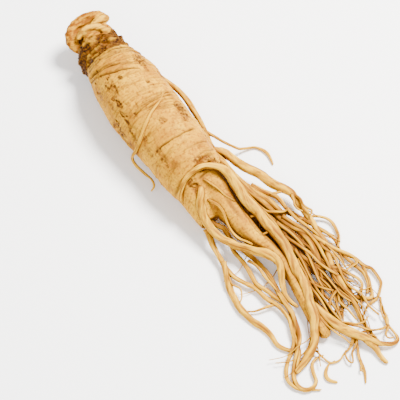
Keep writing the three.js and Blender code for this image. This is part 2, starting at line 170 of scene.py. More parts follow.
# Thinner rootlets. They start inside the thicker root that they grow from.
ROOTLETS = {
    "long_left": [
        (74, -5, 9, 1.5), (82, -6, 5.5, 1.3), (88, -6.5, 4.5, 1.2), (96, -6.5, 3, 1.2),
        (105, -3.5, 3, 1.1), (112, 0.5, 3, 1.1), (119, 2, 3, 1.1), (126, 5, 3, 1.1),
        (134, 5, 3, 1.1), (142, 3, 2.5, 1.1), (149, 1, 2.5, 1), (154, -3, 2.5, 0.9),
        (158, -6.5, 2.5, 0.8),
    ],
    "inner_left": [
        (68, -2, 9, 1.3), (73, -1, 9.5, 1.3), (78, 2, 9, 1.3), (84, 2, 7.5, 1.2),
        (90, 1, 5.5, 1.2), (97, 2, 4, 1.2), (104, 2, 3.5, 1.2), (111, 2, 3.5, 1.2),
        (118, 5, 3.5, 1.2), (126, 8, 3.5, 1.2), (134, 7, 3, 1.2), (141, 4, 2.5, 1.1),
        (147, -1, 2, 1), (151, -6, 1.8, 1), (155, -9.5, 1.5, 1), (160, -11.5, 1.5, 0.9),
        (165, -10, 1.5, 0.8), (168, -6, 1.2, 0.7), (171, 0, 1, 0.4),
    ],
    "looped_left": [
        (84, 2, 7, 1.2), (92, 5, 6, 1.2), (100, 8, 5, 1.2), (108, 9, 4.5, 1.2),
        (117, 8.5, 4, 1.2), (126, 8, 4, 1.2), (135, 7.5, 3.5, 1.2), (143, 5, 3, 1.2),
        (150, -1, 2.5, 1.1), (156, -6, 2, 1.1), (160, -8.5, 1.8, 1.1), (164, -9, 1.8, 1.1),
        (167.5, -7, 1.8, 1), (168.5, -3.5, 1.8, 1), (166.5, -0.5, 1.8, 0.9),
        (162, 1, 1.8, 0.9), (158, 3, 2, 0.8), (156.5, 6, 2, 0.7), (157, 10, 2, 0.5),
    ],
    "far_left": [
        (92, -6.5, 4, 1.3), (100, -9, 3, 1.5), (108, -11, 2, 1.6), (116, -11.5, 1.8, 1.6),
        (123, -10, 1.6, 1.5), (129, -7.5, 1.5, 1.4), (135, -6, 1.5, 1.2), (141, -6, 1.5, 1),
        (145, -4, 1.5, 0.9), (149, 0, 2, 0.8),
    ],
    "side_root": [
        (-14, 12, 21, 1.6), (-9, 17.5, 17, 1.5), (-4, 20, 16, 1.4), (1, 21.5, 16, 1.5),
        (8, 22.5, 16, 1.6), (15, 22.5, 16, 1.6), (23, 22, 15.5, 1.5), (31, 20.5, 15, 1.4),
        (38, 20, 14, 1.3), (46, 21, 13, 0.9),
    ],
    "free_curl": [
        (27, 20, 15.5, 1), (33, 23, 15, 0.8), (37, 27, 12, 0.7), (39, 30.5, 8, 0.7),
        (40.5, 34, 4.5, 0.7), (41, 38.5, 2, 0.7), (42, 42.5, 1.2, 0.7), (45, 45, 1, 0.8),
        (48, 46, 1, 0.8), (51, 46, 1, 0.7), (55.5, 45, 0.8, 0.4),
    ],
    "over_body": [
        (8, 9, 32.5, 0.5), (12, 4.5, 33.9, 0.7), (15, -1, 33.8, 0.8), (18.5, -7, 31.8, 0.8),
        (22, -12.5, 25.8, 0.8), (22.5, -16, 18, 0.8), (22, -17.5, 12, 0.7), (25, -17, 9, 0.7),
        (30, -15.5, 8, 0.7), (35, -14, 7.5, 0.6), (38, -14.5, 6, 0.6), (38.5, -16.5, 2.5, 0.4),
    ],
    "over_leg": [
        (62.5, -1.4, 17.6, 0.5), (66, 1.2, 19.4, 0.7), (70, 3.4, 18.9, 0.7),
        (74, 4, 16.8, 0.7), (79, 3.9, 13.6, 0.7), (84, 4, 11.2, 0.7), (88, 5, 10.9, 0.7),
        (91, 7, 11.2, 0.6), (94, 9, 10.6, 0.5),
    ],
    "beside_arch": [
        (40, 15, 18, 1.5), (48, 18.5, 18, 1.4), (56, 20, 16.5, 1.4), (64, 22.5, 13.5, 1.5),
        (70, 26, 11, 1.5), (76, 29.5, 9, 1.5), (82, 31, 7.5, 1.4), (89, 32, 6, 1.4),
        (96, 34.5, 5, 1.5), (104, 36, 4.5, 1.6), (112, 35, 4, 1.6), (120, 33, 3, 1.4),
        (128, 33, 2.5, 1.2), (134, 34, 2, 1.1), (139, 40, 2, 1), (143, 46, 1.8, 0.9),
        (137, 49, 1.8, 0.8), (130, 51, 2, 0.8), (126, 52, 2, 0.8),
    ],
    "second_beside_arch": [
        (44, 14, 19, 1.4), (52, 18, 20, 1.3), (60, 20, 16.5, 1.4), (68, 22.5, 12.5, 1.5),
        (75, 26, 9.5, 1.5), (82, 28.5, 7, 1.5), (90, 31, 5.5, 1.4), (98, 36, 5, 1.4),
        (105, 40, 4.5, 1.3), (111, 43, 4, 1.2), (116, 47, 3, 1.1), (121, 50.5, 2.5, 1),
        (127, 52.5, 2, 0.9), (131, 55, 2, 0.8), (138, 55, 1.8, 0.8), (142, 52, 1.8, 0.7),
        (145, 48, 1.5, 0.7), (146, 42, 1.5, 0.6), (149, 38, 1.5, 0.4),
    ],
    "under_arch": [
        (52, 15, 20, 1.5), (60, 18, 18, 1.5), (68, 20, 13.5, 1.6), (76, 22.5, 10.5, 1.5),
        (84, 25, 8, 1.5), (92, 27, 6, 1.4), (100, 27, 5, 1.4), (108, 26, 4, 1.3),
        (116, 25, 4, 1.2), (124, 24, 3.5, 1.2), (132, 24.5, 3, 1.1), (140, 24.5, 3, 1.1),
        (148, 24.5, 4, 0.9),
    ],
    "leg_side": [
        (60, 12, 12, 1.8), (70, 14, 9, 1.7), (80, 16.5, 7, 1.6), (90, 19, 5.5, 1.4),
        (100, 21, 4.5, 1.3), (110, 22.5, 4, 1.2), (120, 22, 3.5, 1.1), (130, 21, 3, 1),
        (140, 21, 2.5, 0.9), (148, 20, 2, 0.6),
    ],
    "leg_side_low": [
        (64, 12, 10, 1.5), (74, 17, 6.5, 1.5), (84, 20.5, 5, 1.4), (94, 23, 4, 1.3),
        (104, 24, 3.5, 1.2), (114, 27.5, 3, 1.1), (124, 31, 2.5, 0.9), (134, 31, 2, 0.8),
        (142, 28, 2, 0.5),
    ],
    "high_branch": [
        (66, 25, 12.5, 1.2), (72, 31, 9, 1.2), (78, 34.5, 7.5, 1.2), (85, 36, 6.5, 1.2),
        (91, 38.5, 5.5, 1.2), (97, 42, 5, 1.1), (103, 46, 3.5, 0.9), (110, 47.5, 2.5, 0.8),
        (118, 47, 2, 0.8), (125, 48.5, 2, 0.8), (131, 50, 2, 0.8), (137, 48.5, 1.8, 0.7),
        (141, 45, 1.8, 0.7),
    ],
    "free_loop": [
        (91, 36.5, 6, 0.9), (92, 42, 5, 0.8), (93, 47, 3.5, 0.8), (96, 51, 2.5, 0.8),
        (100, 52.5, 2, 0.8), (105, 51.5, 2, 0.8), (109, 49.5, 2.5, 0.7), (113, 46.5, 3.5, 0.7),
    ],
    "crossing": [
        (98, 24, 7, 1.2), (106, 27, 5, 1.2), (113, 30, 4.5, 1.2), (119, 34, 4, 1.1),
        (123, 40, 3.5, 1), (128, 43.5, 2.5, 0.8), (132, 46, 2, 0.8), (136, 45.5, 2, 0.7),
        (139, 41, 2, 0.6), (141, 37.5, 2, 0.5),
    ],
    "back_crossing": [
        (116, 31, 4, 1.1), (124, 29, 3.5, 0.9), (130, 31, 3, 0.9), (135, 33, 2, 0.8),
        (139, 32.5, 1.8, 0.8), (142.5, 29.5, 2, 0.8), (146, 24, 4, 0.7),
    ],
    "blunt_end": [
        (161, 31, 3.5, 1.5), (166, 32.5, 2.5, 1.4), (170, 32.5, 2, 1.2), (173, 33, 1.5, 1.1),
        (175.5, 34, 1.2, 0.8),
    ],
    "wavy_tip": [
        (156, 27, 3.5, 1), (161, 26, 2, 0.7), (166, 24, 1.2, 0.7), (171, 23, 1, 0.7),
        (175, 21.5, 1, 0.6), (179, 19, 0.8, 0.4),
    ],
    "low_loop": [
        (157, 27, 4, 0.9), (160, 23, 2, 0.6), (161, 19, 1.2, 0.5), (163, 15, 1, 0.5),
        (162, 11, 1, 0.5), (158, 9, 1.5, 0.5), (153, 7, 3.5, 0.6),
    ],
    "hook_tip": [
        (162, 13, 1, 0.3), (162, 10, 1, 0.3), (163.5, 7.5, 1, 0.8), (166, 5.5, 1, 0.9),
        (169, 5.5, 1, 0.9), (172, 8.5, 0.8, 0.6),
    ],
}

# Fine rootlets of the tangle.
FINE_ROOTLETS = [
    [(57, 3, 25.2, 0.4), (61, 5, 24.6, 0.45), (64, 7, 23.2, 0.45), (68, 9, 20.4, 0.45),
     (72, 12, 18, 0.35)],
    [(81, 15.5, 13, 0.5), (82, 18, 13.5, 0.5), (82, 21, 12, 0.4)],
    [(91, 14.5, 10, 0.6), (92, 19, 11.5, 0.5)],
    [(72, 19, 16, 0.7), (80, 22.5, 12, 0.8), (85, 24, 11, 0.8), (92, 24.5, 10, 0.8),
     (100, 24, 9.5, 0.8), (106, 23.5, 9, 0.7), (112, 22.5, 8, 0.5)],
    [(76, 23, 10, 0.8), (81, 25, 10, 0.7), (83, 28, 10, 0.7), (84.5, 32, 9, 0.6),
     (84, 37, 7, 0.5)],
    [(73, 31.5, 9, 0.6), (74.5, 36, 9, 0.6), (75, 40, 7.5, 0.5)],
    [(78, 41.5, 8, 0.7), (82, 40, 9.5, 0.6), (85, 38.7, 10, 0.6), (88, 39, 10, 0.5),
     (90, 40.5, 10, 0.3)],
    [(78, 42.5, 7, 0.8), (83, 43.5, 9, 0.7), (87, 42.5, 10, 0.6), (90, 43, 10, 0.6),
     (92, 44, 10, 0.6), (93.5, 43, 10, 0.5), (93, 41.5, 10, 0.3)],
    [(124, 5, 3, 0.6), (123, 1, 3, 0.6), (122.5, -3, 3, 0.6), (121, -7, 2, 0.5),
     (118, -11, 1.6, 0.4)],
    [(97, -7, 3, 0.5), (100, -8, 4, 0.5), (104, -8.5, 4, 0.45), (108, -6.5, 4, 0.45),
     (112, -8, 3.5, 0.4), (114.5, -11, 3, 0.3)],
    [(160, 44.5, 2.2, 0.6), (160, 41, 3, 0.55), (159, 38, 3, 0.5), (158, 35.5, 3, 0.5),
     (157, 32.5, 3.5, 0.5), (156, 30.5, 3.5, 0.3)],
    [(160, 44.5, 2.5, 0.6), (161.5, 43, 3, 0.6), (163, 41, 3, 0.55), (165, 40.3, 3, 0.5),
     (166.3, 41.5, 3, 0.5), (166.5, 43.5, 3, 0.3)],
    [(158, 28, 4, 0.7), (161, 25, 3, 0.6), (163, 22, 2.6, 0.6), (166, 20.5, 2.4, 0.55),
     (167.5, 19.2, 2.4, 0.5), (165.5, 18.2, 2.2, 0.5), (162.5, 18.5, 2, 0.45),
     (160, 20, 2, 0.3)],
    [(168, 23.5, 1.4, 0.5), (171, 22, 2, 0.45), (172.5, 20.5, 2, 0.4), (173.5, 21.5, 2, 0.3)],
    [(140, 16.5, 6.5, 0.6), (147, 18, 7, 0.5), (152, 20, 6, 0.5), (156, 22.5, 4.5, 0.5),
     (160, 24, 3, 0.3)],
    [(132, 34, 3, 0.6), (133, 31.5, 4, 0.6), (134.5, 28.5, 4.5, 0.6), (137, 26, 4.5, 0.6),
     (142, 25, 4.5, 0.4)],
    [(118, 22, 6, 0.7), (123, 24, 5.5, 0.6), (127, 26.5, 5, 0.6), (130, 29.5, 4.5, 0.6),
     (132, 32, 4, 0.5)],
    [(104, 27, 5.5, 0.8), (110, 26.5, 6, 0.7), (118, 25.5, 5.5, 0.7), (126, 24.5, 5, 0.7),
     (134, 25, 5, 0.7), (142, 25, 5, 0.6), (148, 25.5, 4.5, 0.4)],
    [(110, 24, 7.5, 0.8), (118, 24, 6.5, 0.7), (126, 22.5, 6.5, 0.7), (134, 22.5, 6.5, 0.6),
     (142, 22, 6, 0.6), (150, 24, 5, 0.5), (156, 28, 4.5, 0.3)],
    [(121, 50.5, 2.5, 0.6), (124.5, 50, 3, 0.6), (125, 46, 3.5, 0.6), (126, 42, 4, 0.4)],
    [(98, 4, 6, 0.7), (103, 6, 6.5, 0.7), (110, 6.6, 6, 0.7), (118, 8, 5, 0.6),
     (126, 8.5, 4.5, 0.4)],
    [(148, 24, 6, 0.7), (151, 28, 5.5, 0.6), (154, 31.5, 5, 0.6), (157.5, 34.5, 4, 0.5),
     (159, 38, 3, 0.4)],
    [(146, 22, 6, 0.6), (150, 27, 6, 0.6), (152.5, 31, 5, 0.6), (153, 35.5, 4, 0.5),
     (151, 39, 3, 0.4)],
    [(96, 26, 7, 0.9), (103, 29, 6.5, 0.8), (109, 32, 6, 0.8), (116, 33, 5.5, 0.8),
     (123, 36, 5, 0.7), (129, 40, 3.5, 0.6), (133, 43, 3, 0.4)],
    [(88, 26, 8.5, 0.9), (95, 29, 7.5, 0.9), (102, 31, 6.5, 0.8), (110, 30.5, 6, 0.8),
     (118, 29, 5.5, 0.7), (126, 28, 5, 0.6), (133, 29.5, 4, 0.4)],
    [(86, 31, 7.5, 0.9), (93, 34.5, 6.5, 0.9), (100, 37, 6, 0.8), (107, 38, 5.5, 0.8),
     (115, 37, 5, 0.7), (122, 36, 4.5, 0.7), (130, 36, 4, 0.6), (138, 37, 3, 0.4)],
    [(84, 35, 8, 0.8), (90, 36, 7.5, 0.8), (96, 38.5, 6.5, 0.8), (103, 41, 5.5, 0.7),
     (110, 42, 5, 0.6), (117, 43.5, 4, 0.6), (124, 44, 3, 0.4)],
]

ROPE_STEP = 1.2
STRAND_STEP = 0.7
FINE_STEP = 0.6
FINE_RIDGES = 0.6
FEWEST_FACES = 1000
CREASE_LIP = 0.35
# How many rays and smoothing passes the painted shade in the hollows uses.
SHADE_RAYS = 12
SHADE_SMOOTHING = 3
FLOOR_COLOUR = (0.93, 0.93, 0.925)
TARGET = (0.0589, 0.0, 0.010)
KEY_PLACE = (0.02, 0.42, 0.8)
KEY_SIZE = 0.35
KEY_COLOUR = (1, 0.98, 0.95)
FILL_PLACE = (0.5, -0.5, 0.7)
FILL_SIZE = 0.8
FILL_SHARE = 0.2
WHITE = (1, 1, 1)
SENSOR_WIDTH = 36


def deselect_all():
    if bpy.context.mode != "OBJECT":
        bpy.ops.object.mode_set(mode="OBJECT")
    bpy.ops.object.select_all(action="DESELECT")


def make_active(*objects):
    deselect_all()
    for piece in objects:
        piece.select_set(True)
    bpy.context.view_layer.objects.active = objects[0]


def apply_modifier(piece, kind, **settings):
    make_active(piece)
    modifier = piece.modifiers.new(kind.title(), kind)
    for key, value in settings.items():
        setattr(modifier, key, value)
    bpy.ops.object.modifier_apply(modifier=modifier.name)


def finish_piece(piece, name, material):
    """Names a piece, gives it its material and hands it to the frame."""
    piece.name = name
    piece.data.name = name
    piece.data.materials.clear()
    piece.data.materials.append(material)
    make_active(piece)
    bpy.ops.object.shade_smooth()
    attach(piece, BODY)
    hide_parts(NODE)


def smooth_path(points, step):
    """Points (x, y, z, radius) at even steps along a smooth curve through the given ones."""
    knots = np.array(points, float)
    ends = [2 * knots[0] - knots[1], 2 * knots[-1] - knots[-2]]
    knots = np.vstack([ends[0], knots, ends[1]])
    t = np.linspace(0, 1, 24, endpoint=False)[:, None]
    path = []
    for a, b, c, d in zip(knots, knots[1:], knots[2:], knots[3:]):
        path.append(0.5 * (2 * b + (c - a) * t + (2 * a - 5 * b + 4 * c - d) * t ** 2
                           + (3 * b - a - 3 * c + d) * t ** 3))
    path = np.vstack(path + [knots[-2][None]])
    reach = np.concatenate([[0], np.cumsum(np.linalg.norm(np.diff(path[:, :3], axis=0), axis=1))])
    count = max(4, int(round(reach[-1] / step)) + 1)
    even = np.linspace(0, reach[-1], count)
    return np.stack([np.interp(even, reach, path[:, k]) for k in range(4)], 1), even


def frames_along(path):
    """A side and a lift vector at each point of a path, turned as little as possible."""
    tangents = np.gradient(path[:, :3], axis=0)
    tangents /= np.linalg.norm(tangents, axis=1)[:, None]
    side = np.cross(tangents[0], (0.1, 0.2, 1.0))
    sides = []
    for tangent in tangents:
        side = side - tangent * side.dot(tangent)
        side /= np.linalg.norm(side)
        sides.append(side)
    sides = np.array(sides)
    return sides, np.cross(tangents, sides)


class SmoothNoise:
    """Seeded noise from -1 to 1 that varies smoothly over a given length."""

    cells = 32

    def __init__(self, seed):
        self.values = np.random.default_rng(seed).uniform(-1, 1, (self.cells,) * 3)

    def at(self, points, length):
        scaled = np.asarray(points, float) / length
        low = np.floor(scaled)
        part = scaled - low
        part = part * part * (3 - 2 * part)
        low = low.astype(int)
        total = np.zeros(len(scaled))
        for corner in np.ndindex(2, 2, 2):
            cell = (low + corner) % self.cells
            weight = np.prod(np.where(corner, part, 1 - part), axis=1)
            total += weight * self.values[cell[:, 0], cell[:, 1], cell[:, 2]]
        return total

    def rough(self, points, length, layers=4):
        return sum(self.at(points, length / 2 ** k) / 2 ** k for k in range(layers))


def grow_by_extrusion(points, sides):
    """A closed trunk: a circle extruded and resized from station to station along X."""
    x, y, z, radius = points[0]
    deselect_all()
    bpy.ops.mesh.primitive_circle_add(
        vertices=sides, radius=radius * MM, fill_type="NGON", align="WORLD",
        location=(x * MM, y * MM, z * MM), rotation=(0, math.pi / 2, 0))
    trunk = bpy.context.object
    bpy.ops.object.mode_set(mode="EDIT")
    bpy.ops.mesh.select_all(action="SELECT")
    for before, after in zip(points, points[1:]):
        move = [(b - a) * MM for a, b in zip(before[:3], after[:3])]
        bpy.ops.mesh.extrude_region_move(TRANSFORM_OT_translate={"value": move})
        grown = after[3] / before[3]
        bpy.ops.transform.resize(value=(grown, grown, grown),
                                 center_override=[c * MM for c in after[:3]])
    bpy.ops.mesh.select_all(action="SELECT")
    bpy.ops.mesh.normals_make_consistent(inside=False)
    bpy.ops.object.mode_set(mode="OBJECT")
    bpy.ops.object.transform_apply(location=True, rotation=True, scale=True)
    return trunk


def grow_rope(points, name):
    """A closed rope of changing thickness: a bevelled curve turned into a mesh."""
    path, _ = smooth_path(points, ROPE_STEP)
    curve = bpy.data.curves.new(name, "CURVE")
    curve.dimensions = "3D"
    curve.bevel_depth = MM
    curve.bevel_resolution = 4
    curve.use_fill_caps = True
    spline = curve.splines.new("POLY")
    spline.points.add(len(path) - 1)
    for point, (x, y, z, radius) in zip(spline.points, path):
        point.co = (x * MM, y * MM, z * MM, 1)
        point.radius = radius
    rope = bpy.data.objects.new(name, curve)
    bpy.context.scene.collection.objects.link(rope)
    make_active(rope)
    bpy.ops.object.convert(target="MESH")
    return bpy.context.object


def add_lump(centre, half_sizes):
    deselect_all()
    bpy.ops.mesh.primitive_uv_sphere_add(segments=24, ring_count=14, radius=MM,
                                         location=[c * MM for c in centre])
    lump = bpy.context.object
    lump.scale = half_sizes
    bpy.ops.object.transform_apply(location=True, rotation=True, scale=True)
    return lump


def corners_and_normals(piece):
    count = len(piece.data.vertices)
    corners, normals = np.zeros(count * 3), np.zeros(count * 3)
    piece.data.vertices.foreach_get("co", corners)
    piece.data.vertices.foreach_get("normal", normals)
    return corners.reshape(-1, 3) / MM, normals.reshape(-1, 3)


def write_corners(piece, corners):
    """Moves a piece's corners to these places in millimetres, none of them below the table."""
    corners = corners.copy()
    corners[:, 2] = np.maximum(corners[:, 2], 0)
    piece.data.vertices.foreach_set("co", (corners * MM).astype(np.float32).ravel())
    piece.data.update()


def write_marks(piece, **marks):
    for name, values in marks.items():
        mark = piece.data.attributes.new(name, "FLOAT", "POINT")
        mark.data.foreach_set("value", np.clip(values, 0, 1).astype(np.float32))


def soft_step(low, high, values):
    """0 at low and beyond, 1 at high and beyond, eased in between."""
    share = np.clip((values - low) / (high - low), 0, 1)
    return share * share * (3 - 2 * share)


def bump_at(distance, width):
    """1 where the distance is 0, fading out over the width."""
    return np.exp(-(distance / width) ** 2)


def near_rope(corners, points):
    """1 on the rope that follows these points, falling to 0 a little way off it."""
    path, _ = smooth_path(points, 0.8)
    nearest = np.full(len(corners), np.inf)
    for x, y, z, radius in path:
        nearest = np.minimum(nearest, np.linalg.norm(corners - (x, y, z), axis=1) / radius)
    return soft_step(1.6, 1.15, nearest)


# Creases that run around the taproot: where along X in millimetres, how far they drift along X
# per radian, the middle and half of the arc they cover in degrees (0 faces +Y and 90 faces up),
# their depth and their width in millimetres, and how brown they are.
# The brown of a crease is partly the ring's own colour and partly painted shade in its groove.
CREASES = [
    (-29.6, -1.2, 100, 120, 1.22, 1.22, 1), (-26.6, -1.8, 100, 110, 0.68, 0.74, 1),
    (-24.2, -1.5, 60, 60, 0.54, 0.68, 0.85), (-20.5, -6, 118, 50, 0.74, 0.68, 1),
    (-22.8, -4, 130, 45, 0.54, 0.68, 0.85), (-17, -8, 120, 55, 0.68, 0.68, 1),
    (-13.5, -4, 60, 45, 0.47, 0.68, 0.55), (-9, -2, 100, 60, 0.41, 0.61, 0.47),
    (-3.5, -1, 85, 55, 0.41, 0.68, 0.4), (2, -1, 110, 60, 0.38, 0.68, 0.4),
    (7.4, 0.5, 95, 45, 0.41, 0.54, 0.55), (9.4, 1.8, 85, 48, 0.57, 0.57, 0.85),
    (11, 1.2, 90, 50, 0.68, 0.57, 1), (12.4, -0.5, 88, 46, 0.57, 0.54, 0.85),
    (13.9, -1, 75, 40, 0.47, 0.47, 0.62), (15.3, -1.5, 68, 34, 0.49, 0.47, 0.62),
    (16.5, -1.5, 66, 30, 0.46, 0.47, 0.62), (17.7, -2, 64, 26, 0.41, 0.47, 0.55),
    (24.5, 1, 120, 35, 0.27, 0.54, 0.32), (33, 0.3, 96, 46, 0.57, 0.54, 0.93),
    (37.5, 1, 150, 40, 0.41, 0.68, 0.55), (41.2, 1.8, 70, 36, 0.49, 0.49, 0.78),
    (46.3, 2.5, 60, 30, 0.54, 0.68, 0.85), (49.3, 3.8, 72, 34, 1.22, 0.94, 1),
    (51.4, 1.5, 66, 32, 0.94, 0.81, 1), (53.4, 1, 58, 36, 0.81, 0.81, 1),
    (55.4, 0.5, 62, 40, 0.47, 0.68, 0.85), (52.8, -1, 150, 40, 0.54, 0.81, 0.85),
]
# Brown scars and patches on the taproot: X in millimetres, the angle in degrees, their half
# length along X and half width around in millimetres, their depth and how brown they are.
SCARS = [
    (-14.8, 62, 3.2, 2.4, 0.4, 0.8), (-19, 52, 4, 2.5, 0.2, 0.55), (-1.1, 72, 1.4, 1.2, 0.6, 0.9),
    (-10.1, 109, 1.1, 1, 0.5, 0.75), (-10.9, 130, 3.4, 2.2, 0.2, 0.6),
    (-5, 131, 3, 2, 0.3, 0.5), (1.2, 136, 3, 1.1, 0.5, 0.85), (22.5, 98, 1.6, 1.6, 0.35, 0.65),
    (33.4, 134, 1.6, 1.6, 0.5, 0.7), (38.6, 137, 3.2, 1.6, 0.45, 0.75),
    (23.8, 140, 1.2, 1.2, 0.35, 0.7), (17, 53, 2.2, 2.4, 0.4, 0.85), (20.4, 56, 2.2, 2, 0.5, 0.9),
    (24.6, 58, 2.6, 1.6, 0.35, 0.65), (6, 142, 2.2, 1, 0.35, 0.6), (10.6, 146, 2.4, 0.9, 0.4, 0.8),
    (15, 152, 2.6, 0.9, 0.4, 0.7), (3.7, 177, 1.6, 1.6, 0.5, 0.9), (9.2, 181, 3.4, 1.6, 0.5, 0.8),
    (14.5, 186, 3, 1.8, 0.4, 0.7), (5, 84, 0.9, 0.9, 0.25, 0.5), (-22, 38, 3, 3, 0.2, 0.5),
    (48.8, 74, 1.2, 4.5, 0.5, 0.95), (50.8, 62, 1.2, 4.5, 0.5, 0.95),
    (52.6, 50, 1.6, 3.6, 0.5, 0.85), (56.4, 119, 2.2, 1.8, 0.7, 0.95),
    (59, 112, 2.4, 1.6, 0.7, 1), (29, 152, 3, 1.4, 0.25, 0.5), (-26, 20, 3, 4, 0.3, 0.7),
    (-17, 57, 4, 1.6, 0.4, 0.8),
    (-8, 60, 3, 1, 0.3, 0.5), (1, 68, 1.8, 0.8, 0.3, 0.6), (18, 50, 3, 2.6, 0.5, 0.9),
    (22, 50, 2.6, 2, 0.5, 0.9), (-2, 150, 3, 0.9, 0.3, 0.6), (19, 158, 2.6, 1.4, 0.4, 0.7),
    (6, 168, 1.4, 2.2, 0.4, 0.8), (12, 172, 2, 1.2, 0.4, 0.8), (-12, 160, 3, 1, 0.3, 0.5),
    (44, 120, 2, 1.5, 0.2, 0.35), (-5, 30, 3, 2.4, 0.3, 0.6),
    (36, 30, 3, 1.6, 0.3, 0.6), (12, -30, 3, 2, 0.4, 0.7), (30, -60, 4, 2, 0.4, 0.6),
    (-12, -20, 3, 2.4, 0.4, 0.7), (2, 225, 4, 2, 0.4, 0.6), (40, 200, 3, 2, 0.4, 0.6),
]


def around(corners, root):
    """Each corner's angle around a root that runs along X, and the root's radius there."""
    stations = np.array(root, float)
    mid_y, mid_z, radius = (np.interp(corners[:, 0], stations[:, 0], stations[:, k])
                            for k in (1, 2, 3))
    return np.arctan2(corners[:, 2] - mid_z, corners[:, 1] - mid_y), radius


def turn_from(angle, centre):
    """The angle in radians from a centre in degrees, from minus half a turn to half a turn."""
    return (angle - math.radians(centre) + math.pi) % (2 * math.pi) - math.pi


class Carving:
    """The taproot's corners, how far each is moved out, and the marks it is coloured by.

    Lengths are millimetres.
    """

    def __init__(self, piece, seed):
        self.corners, self.normals = corners_and_normals(piece)
        self.swell, self.grain, self.warp, self.cork = (SmoothNoise(seed + k) for k in range(4))
        self.x = self.corners[:, 0]
        self.angle, self.radius = around(self.corners, TAPROOT)
        lip = near_rope(self.corners, CROWN_ROPES["lip"][:6])
        # The lip and nub on top of the crown, marked for a painted highlight.
        self.pale = np.maximum(lip, near_rope(self.corners, CROWN_ROPES["nub"]))
        self.on_crown = np.maximum(soft_step(-44.6, -46.6, self.x), lip)
        self.on_neck = soft_step(-30, -32.4, self.x) * (1 - self.on_crown)
        self.on_body = soft_step(-31.5, -29, self.x) * soft_step(64, 58, self.x)
        self.on_leg = soft_step(56, 64, self.x)
        self.move, self.crease, self.scar, self.bark = np.zeros((4, len(self.x)))

    # The crease mark darkens the grooves: partly the root's own brown and partly painted shade.
    def darken(self, crease):
        self.crease = np.maximum(self.crease, crease)

    def scorch(self, scar):
        self.scar = np.maximum(self.scar, scar)

    def swellings(self):
        """Broad and shallow unevenness."""
        broad = 0.55 * self.swell.rough(self.corners, 13, 2)
        self.move += broad * (self.on_body + 0.35 * self.on_leg)
        self.move += 0.2 * self.grain.at(self.corners * (1, 0.6, 0.6), 4.5) * self.on_body

    def add_crease(self, at, drift, centre, half_arc, depth, width, brown):
        """A wandering groove around part of the body, with a low lip on each side."""
        turn = turn_from(self.angle, centre)
        wander = 0.8 * self.warp.at(self.corners + (at * 7, 0, 0), 9)
        away = self.x - at - drift * turn - wander - self.waver
        arc = soft_step(1, 0.7, np.abs(turn) / math.radians(half_arc))
        arc = arc * (0.75 + 0.35 * self.warp.at(self.corners - (at * 3, 0, 0), 5))
        groove = bump_at(away, width) * arc * self.on_body
        lips = bump_at(away - 1.9 * width, 1.2 * width) + bump_at(away + 1.9 * width, 1.2 * width)
        self.move += depth * (CREASE_LIP * lips * arc * self.on_body - groove)
        self.darken(brown * groove)

    def creases(self, fine_rings, seed):
        """The listed creases, and seeded faint ones between them."""
        self.waver = 0.3 * self.warp.at(self.corners, 3.1)
        for crease in CREASES:
            self.add_crease(*crease)
        rings = random.Random(seed)
        for _ in range(fine_rings):
            at = rings.choice((rings.uniform(-29, -8), rings.uniform(-29, 58),
                               rings.uniform(0, 20)))
            self.add_crease(
                at, rings.uniform(-2.5, 2.5), rings.uniform(-180, 180), rings.uniform(14, 48),
                rings.uniform(0.15, 0.34), rings.uniform(0.32, 0.5), rings.uniform(0.2, 0.6))

    def scars(self):
        """Ragged brown scars, pitted inside."""
        ragged = 0.45 * self.grain.at(self.corners, 1.7) + 0.3 * self.warp.at(self.corners, 0.8)
        pitting = 0.9 * self.grain.at(self.corners, 1.1) - 0.45
        tint = 0.7 + 0.5 * self.grain.at(self.corners, 0.9)
        for at, centre, half_length, half_width, depth, brown in SCARS:
            turn = turn_from(self.angle, centre)
            reach = np.hypot((self.x - at) / half_length, turn * self.radius / half_width)
            spot = soft_step(1.7, 0.75, reach + ragged) * self.on_body
            self.move += depth * spot * pitting
            self.scorch(brown * spot * tint)

    def wrinkles(self):
        """Short crossing wrinkles in patches, and fine grain between them."""
        net = self.warp.at(self.corners * (1, 0.22, 0.22) + (0, 50, 0), 2.4)
        patches = soft_step(-0.35, 0.4, self.swell.at(self.corners, 9))
        lines = soft_step(0.2, 0.02, np.abs(net)) * patches * self.on_body
        self.move -= 0.24 * lines
        # Painted shade in the wrinkle lines, along with their own brown.
        self.darken(0.42 * lines)
        fine = 0.16 * self.cork.at(self.corners * (1, 0.7, 0.7), 1.6)
        self.move += fine * (self.on_body + 0.6 * self.on_leg)

    def pits(self):
        """Small dark pits, most of them on the shaded flank."""
        pits = self.warp.at(self.corners * (0.7, 1, 1), 1.5)
        flank = soft_step(0.1, 0.9, -np.cos(self.angle)) * soft_step(40, 0, self.x) + 0.25
        pitted = soft_step(0.38, 0.75, pits) * flank * self.on_body
        self.move -= 0.32 * pitted
        self.scorch(0.75 * pitted)

    def fold(self):
        """A rough brown fold on the left of where the main leg leaves the body."""
        away = np.hypot((self.x - 58.5) / 3.4, (self.corners[:, 1] + 1.6) / 1.8)
        fold = bump_at(away, 1) * soft_step(12, 18, self.corners[:, 2])
        self.move += fold * (0.9 * self.cork.at(self.corners, 1.6) - 0.5)
        self.scorch(0.95 * fold * (0.7 + 0.5 * self.grain.at(self.corners, 1)))

    def neck(self, bark_depth):
        """Corky flakes that run around the neck, the groove under it, and a ragged edge."""
        flakes = self.cork.rough(self.corners * (1.5, 0.75, 0.75), 3.1, 3)
        grit = self.grain.rough(self.corners, 1.3, 2)
        self.move += bark_depth * self.on_neck * (0.9 * flakes + 0.5 * grit)
        lean = 0.12 * self.corners[:, 1]
        away = self.x - (-33.8 + lean + 0.5 * self.warp.at(self.corners, 4))
        self.move -= 0.8 * bump_at(away, 0.9)
